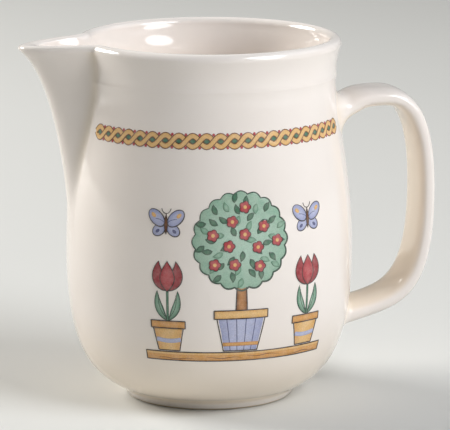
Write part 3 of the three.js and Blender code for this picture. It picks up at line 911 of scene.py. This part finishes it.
def butterfly_patches(offset):
    """A butterfly with spread wings: on either side two ovals with spots, a vein and a feeler."""
    patches = []
    for hand in (-1, 1):
        lower_tilt, upper_tilt = hand * -0.7, hand * 0.75

        def at(across, up):
            """A place on this side of the body."""
            return offset + hand * across, BUTTERFLY_MIDDLE + up

        lower = oval(at(2.3, -1.9), half_long=2.3, half_wide=1.7, tilt=lower_tilt)
        upper = oval(at(3.1, 1.7), half_long=3.2, half_wide=2.0, tilt=upper_tilt)
        upper_spot = oval(at(4.1, 2.5), half_long=0.95, half_wide=0.6, tilt=upper_tilt)
        lower_spot = oval(at(2.7, -2.3), half_long=0.75, half_wide=0.5, tilt=lower_tilt)
        patches += inked(lower, BLUE_PALE, BLUE, LINE, pen=0.28, layer=0)
        patches += inked(upper, BLUE_PALE, BLUE, LINE, pen=0.3, layer=2)
        patches.append(fill(upper_spot, HONEY_PALE, HONEY, 3))
        patches.append(fill(lower_spot, BLUE_DARK, BLUE_DARK, 3))
        vein = bowed(at(0.6, 0.4), at(3.4, 1.4), bow=hand * 0.3)
        patches.append(stroke(vein, HAIRLINE, BLUE_DARK, BLUE_DARK, 3))
        feeler = bowed(at(0, 3), at(1.5, 4.6), bow=hand * -0.35)
        patches.append(stroke(feeler, HAIRLINE, LINE, LINE, 4))
    body = blade((offset, BUTTERFLY_MIDDLE - 3.4), (offset, BUTTERFLY_MIDDLE + 3.4), half_width=0.6)
    return patches + [fill(body, WOOD_DARK, LINE, 5)]


def round_to(width):
    """Way round the belly from a side's middle to a half width off the plane of beak and handle."""
    return BELLY_RADIUS * (math.pi / 2 - math.asin(width / radius_at(OUTSIDE, BORDER_MIDDLE)))


def border_ends(side):
    """How far the border runs from its side's middle: to a margin short of the beak and of the handle."""
    to_beak = round_to(beak_half_width(BORDER_MIDDLE) + BORDER_MARGIN)
    to_handle = round_to(STRAP_WIDTH / 2 + ROOT_FLARE / 2 + SLIP_SPREAD + BORDER_MARGIN)
    return (-to_beak, to_handle) if side == "front" else (-to_handle, to_beak)


def border_patches(side):
    """Plaited border: two sine bands of opposite phase, which pass over and under each other by turns.

    At a crossing the cosine of the phase is plus or minus one, which lifts one band over the other.
    """
    left, right = border_ends(side)
    waves = round((right - left) / BORDER_PERIOD)
    period = (right - left) / waves
    along = np.linspace(left, right, waves * 16 + 1)
    phase = 2 * math.pi * (along - left) / period
    patches = []
    for hand in (-1, 1):
        line = np.stack([along, BORDER_MIDDLE + hand * BORDER_WAVE * np.sin(phase)], axis=1)
        over = 3 * (1 + hand * np.cos(phase)) / 2
        patches.append(stroke(line, BORDER_BAND, HONEY_PALE, HONEY, over))
        for edge in (-1, 1):
            edge_line = line + edge * left_of(unit_steps(line)) * BORDER_BAND / 2
            patches.append(stroke(edge_line, 0.3, WOOD_DARK, WOOD_DARK, over + 1))
    for k in range(2 * waves):
        eye = left + (k + 0.5) * period / 2
        leaf = blade((eye - 1.6, BORDER_MIDDLE), (eye + 1.6, BORDER_MIDDLE), 0.85)
        patches.append(fill(leaf, LEAF_MID, LEAF, 1))
    for k in range(1, 2 * waves):
        crossing = left + k * period / 2
        for hand in (-1, 1):
            dot = lobed((crossing, BORDER_MIDDLE + hand * 1.95), 0.48, steps=12)
            patches.append(fill(dot, RED_PALE, RED, 1))
    return patches


def make_print(name, patches, side, material):
    """Lays patches on one side of the pot, whose middle is a quarter turn from the beak."""
    quarter = math.pi / 2 if side == "front" else -math.pi / 2
    points, inks, faces = [], [], []
    start = 0
    for patch in patches:
        places = patch.places.reshape(-1, 2)
        lifts = patch.lifts.ravel()
        colours = patch.inks.reshape(-1, 3)
        index = np.arange(len(places)).reshape(patch.lifts.shape)
        if patch.closed:
            unused = patch.lifts.shape[1] - 1
            places, lifts, colours = places[unused:], lifts[unused:], colours[unused:]
            index = np.maximum(index - unused, 0) + start
            faces += fan_faces(start, index[1][::-1])
            faces += grid_faces(index[1:], wrap_columns=True)
        else:
            faces += grid_faces(index + start)
        angle = quarter + places[:, 0] / BELLY_RADIUS
        points.append(placed(angle, outside_radius(angle, places[:, 1]) + lifts, places[:, 1]))
        inks.append(colours)
        start += len(places)
    return make_piece(name, np.concatenate(points), faces, material, inks=np.concatenate(inks))


# Materials

# Numbers of the Mix node's sockets: its share, its two values, its two colours and the colour it gives
SHARE, VALUE_A, VALUE_B, COLOUR_A, COLOUR_B, MIXED_COLOUR = 0, 2, 3, 6, 7, 2

# Range that most of a noise pattern lies in
NOISE_RANGE = {"From Min": 0.3, "From Max": 0.7}


def feed(target, inputs):
    """Gives each input of a node a value, or a link from another node's output."""
    for name, value in inputs.items():
        if isinstance(value, bpy.types.NodeSocket):
            target.id_data.links.new(value, target.inputs[name])
        else:
            target.inputs[name].default_value = value


def node(tree, kind, inputs=None, **settings):
    """Adds a shader node: settings become its properties, and its inputs are fed."""
    made = tree.nodes.new(kind)
    for name, value in settings.items():
        setattr(made, name, value)
    feed(made, inputs or {})
    return made


def new_material(name):
    """A material, its shader, the function that adds its nodes, and the place of a point on the object."""
    material = bpy.data.materials.new(name)
    material.use_nodes = True
    add = partial(node, material.node_tree)
    place = add("ShaderNodeTexCoord").outputs["Object"]
    return material, material.node_tree.nodes["Principled BSDF"], add, place


def rgba(hex_colour):
    """Linear colour of a hex value, opaque."""
    return (*linear(hex_colour), 1)


def per_mm(size):
    """Texture scale at which one feature is about that many millimetres."""
    return 1 / (size * MM)


def glazed_stoneware():
    """Cast stoneware under a clear cream glaze: a deep, faintly uneven gloss, a warmer, darker painted
    shade in a crease, by the heel and on the handle, a warmer, darker tint low on the pot, paler where it
    thins on an edge, and bare sandy clay on the foot."""
    material, shader, add, place = new_material("glazed stoneware")
    shade_and_low_tint, thinned, bare = (
        add("ShaderNodeAttribute", attribute_name=name).outputs["Fac"]
        for name in ("shade_and_low_tint", "thinned", "bare")
    )
    cloud, grit, swell, peel = (
        add("ShaderNodeTexNoise", {"Vector": place, "Scale": per_mm(size), "Detail": detail}).outputs["Fac"]
        for size, detail in ((GLAZE_CLOUD, 3), (CLAY_GRIT, 4), (GLAZE_SWELL, 1), (GLAZE_PEEL, 2))
    )
    ragged = add("ShaderNodeMath", {0: grit, 1: 0.5, 2: bare}, operation="MULTIPLY_ADD").outputs[0]
    wiped = add("ShaderNodeMapRange", {"Value": ragged, "From Min": 0.62, "From Max": 0.8}).outputs[0]
    shade_share = add("ShaderNodeMath", {0: shade_and_low_tint, 1: 0.8}, operation="MULTIPLY").outputs[0]
    thin_share = add("ShaderNodeMath", {0: thinned, 1: 0.5}, operation="MULTIPLY").outputs[0]
    clay_mix = {SHARE: grit, COLOUR_A: rgba("#C9B393"), COLOUR_B: rgba("#E4D6BE")}
    clay = add("ShaderNodeMix", clay_mix, data_type="RGBA").outputs[MIXED_COLOUR]
    colour = rgba("#F8F0E9")
    # F2E2CA is painted shade in creases, by the heel and on the handle, and a warmer, darker tint low on
    # the pot.
    glazes = (cloud, rgba("#F3E9E0")), (shade_share, rgba("#F2E2CA")), (thin_share, rgba("#F5EFE9"))
    for share, cover in (*glazes, (wiped, clay)):
        laid = add("ShaderNodeMix", {SHARE: share, COLOUR_A: colour, COLOUR_B: cover}, data_type="RGBA")
        colour = laid.outputs[MIXED_COLOUR]
    gloss = {"Value": cloud, **NOISE_RANGE, "To Min": 0.05, "To Max": 0.09}
    sheen = add("ShaderNodeMapRange", gloss).outputs[0]
    roughness = add("ShaderNodeMix", {SHARE: wiped, VALUE_A: sheen, VALUE_B: 0.75}).outputs[0]
    slow_bump = {"Height": swell, "Strength": 1.0, "Distance": SWELL_DEPTH * MM}
    slow = add("ShaderNodeBump", slow_bump).outputs[0]
    peel_bump = {"Height": peel, "Strength": 1.0, "Distance": PEEL_DEPTH * MM, "Normal": slow}
    peeled = add("ShaderNodeBump", peel_bump).outputs[0]
    grit_bump = {"Height": ragged, "Strength": wiped, "Distance": GRIT_DEPTH * MM, "Normal": peeled}
    normal = add("ShaderNodeBump", grit_bump).outputs[0]
    feed(shader, {"Base Color": colour, "Roughness": roughness, "Normal": normal, "IOR": 1.65})
    return material


def fired_print():
    """Ceramic colours fired into the glaze: flat washes with a watery mottle, a fine grain of dots,
    and nearly the gloss of the glaze around them."""
    material, shader, add, place = new_material("fired print")
    ink = add("ShaderNodeAttribute", attribute_name="ink").outputs["Color"]
    brush = {"Vector": place, "Scale": per_mm(INK_WASH), "Detail": 4, "Roughness": 0.6}
    wash = add("ShaderNodeTexNoise", brush).outputs["Fac"]
    stipple = {"Vector": place, "Scale": per_mm(INK_DOTS), "Detail": 2}
    dots = add("ShaderNodeTexNoise", stipple).outputs["Fac"]
    tone, grain, gloss = (
        add("ShaderNodeMapRange", {"Value": noise, **NOISE_RANGE, "To Min": low, "To Max": high}).outputs[0]
        for noise, low, high in ((wash, 0.0, 0.16), (dots, 0.86, 1.08), (wash, 0.11, 0.2))
    )
    watering = {SHARE: tone, COLOUR_A: ink, COLOUR_B: rgba("#EFE6DC")}
    watery = add("ShaderNodeMix", watering, data_type="RGBA").outputs[MIXED_COLOUR]
    colour = add("ShaderNodeVectorMath", {0: watery, "Scale": grain}, operation="SCALE").outputs[0]
    raised = {"Height": dots, "Strength": 1.0, "Distance": DOT_DEPTH * MM}
    normal = add("ShaderNodeBump", raised).outputs[0]
    feed(shader, {"Base Color": colour, "Roughness": gloss, "Normal": normal, "IOR": 1.5})
    return material


def pale_board():
    """Matt painted board: a pale, almost even grey with a faint cloud and a fine tooth."""
    material, shader, add, place = new_material("pale board")
    cloud, tooth = (
        add("ShaderNodeTexNoise", {"Vector": place, "Scale": per_mm(size), "Detail": 2}).outputs["Fac"]
        for size in (BOARD_CLOUD, BOARD_TOOTH)
    )
    greys = {SHARE: cloud, COLOUR_A: rgba("#DDDDD9"), COLOUR_B: rgba("#DADAD6")}
    colour = add("ShaderNodeMix", greys, data_type="RGBA").outputs[MIXED_COLOUR]
    raised = {"Height": tooth, "Strength": 0.3, "Distance": TOOTH_DEPTH * MM}
    normal = add("ShaderNodeBump", raised).outputs[0]
    feed(shader, {"Base Color": colour, "Normal": normal, "Roughness": 0.8, "Specular IOR Level": 0.05})
    return material


# Pieces


def dress(piece, slot, *nodes):
    """Rides a piece on the one body, and lets it stand for its CAD nodes."""
    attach(piece, "root")
    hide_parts(*nodes)


stoneware = glazed_stoneware()
print_ink = fired_print()
dress(make_body(stoneware), "cream_glaze", "pot_wall", "rim_collar", "pouring_beak")
dress(make_foot(stoneware), "foot_clay", "foot_ring")
dress(make_handle(stoneware), "cream_glaze", "strap_handle", "upper_slip_joint", "lower_slip_joint")
for side in ("front", "back"):
    motifs = {
        "border_band": ("honey_print", border_patches(side)),
        "shelf": ("wood_print", shelf_patches()),
        "potted_tree": ("green_print", tree_patches()),
        "left_tulip_pot": ("red_print", tulip_patches(-SIDE_POT_OFFSET)),
        "right_tulip_pot": ("red_print", tulip_patches(SIDE_POT_OFFSET)),
        "left_butterfly": ("blue_print", butterfly_patches(-BUTTERFLY_OFFSET)),
        "right_butterfly": ("blue_print", butterfly_patches(BUTTERFLY_OFFSET)),
    }
    for motif, (slot, patches) in motifs.items():
        dress(make_print(f"{motif}_{side}", patches, side, print_ink), slot, f"{motif}_print_{side}")

# Floor, camera and lamps


def level_sheet(name, size, material):
    """A level square sheet on the surface that the foot stands on."""
    edge = np.linspace(-size / 2, size / 2, 3)
    across, along = np.meshgrid(edge, edge)
    points = np.stack([across, along, np.zeros_like(across)], axis=-1).reshape(-1, 3) * MM
    return make_piece(name, points, grid_faces(np.arange(9).reshape(3, 3)), material)


def direction(azimuth, elevation):
    """Unit vector towards an azimuth, where 0 is -Y and 90 degrees is +X, and an elevation."""
    level = math.cos(elevation)
    return Vector((math.sin(azimuth) * level, -math.cos(azimuth) * level, math.sin(elevation)))


def hang(name, data, aim, toward, distance):
    """Puts a lamp or camera at a distance from a point, in a direction from it, and faces it there."""
    holder = bpy.data.objects.new(name, data)
    holder.location = (aim + toward * distance) * MM
    holder.rotation_mode = "QUATERNION"
    holder.rotation_quaternion = toward.to_track_quat("Z", "Y")
    bpy.context.scene.collection.objects.link(holder)
    return holder


def add_lamp(name, turn, rise, width, height, power, colour):
    """Soft oval lamp that faces the pot, at a turn in degrees right of the camera and a rise."""
    lamp = bpy.data.lights.new(name, "AREA")
    lamp.shape = "ELLIPSE"
    lamp.size = width * MM
    lamp.size_y = height * MM
    lamp.energy = power
    lamp.color = linear(colour)
    toward = direction(VIEW_AZIMUTH + math.radians(turn), math.radians(rise))
    hang(name, lamp, Vector((AXIS, 0, BELLY_HEIGHT)), toward, LAMP_DISTANCE)


def pale_studio():
    """World that lights almost nothing: the camera sees a pale backdrop, the glaze mirrors a grey one."""
    world = bpy.data.worlds.new("studio")
    world.use_nodes = True
    tree = world.node_tree
    ray = node(tree, "ShaderNodeLightPath").outputs
    lighting = {SHARE: ray["Is Glossy Ray"], VALUE_A: FILL_LIGHT, VALUE_B: MIRRORED_TONE}
    mirrored = node(tree, "ShaderNodeMix", lighting).outputs[0]
    showing = {SHARE: ray["Is Camera Ray"], VALUE_A: mirrored, VALUE_B: BACKDROP_TONE}
    strength = node(tree, "ShaderNodeMix", showing).outputs[0]
    feed(tree.nodes["Background"], {"Color": rgba("#FFFFFC"), "Strength": strength})
    return world


floor = level_sheet("floor", FLOOR_SIZE, pale_board())

scene = bpy.context.scene
view_right = Vector((math.cos(VIEW_AZIMUTH), math.sin(VIEW_AZIMUTH), 0))
aim = Vector((AXIS, 0, VIEW_HEIGHT)) + view_right * VIEW_RIGHT
eye = bpy.data.cameras.new("camera")
eye.lens = LENS
eye.sensor_width = SENSOR
scene.camera = hang("camera", eye, aim, direction(VIEW_AZIMUTH, VIEW_ELEVATION), VIEW_DISTANCE)

add_lamp("key softbox", turn=57, rise=39, width=950, height=700, power=14.0, colour="#F9FBFF")
add_lamp("right softbox", turn=85, rise=42, width=2000, height=1400, power=5.5, colour="#F9FBFF")
add_lamp("low strip", turn=53, rise=14.5, width=800, height=280, power=3.6, colour="#F9FBFF")
add_lamp("left softbox", turn=-114, rise=30, width=1050, height=620, power=23.8, colour="#FFFDFA")
add_lamp("back softbox", turn=178, rise=38, width=1600, height=900, power=0.6, colour="#FFFFFF")

scene.world = pale_studio()
scene.view_settings.view_transform = "Standard"
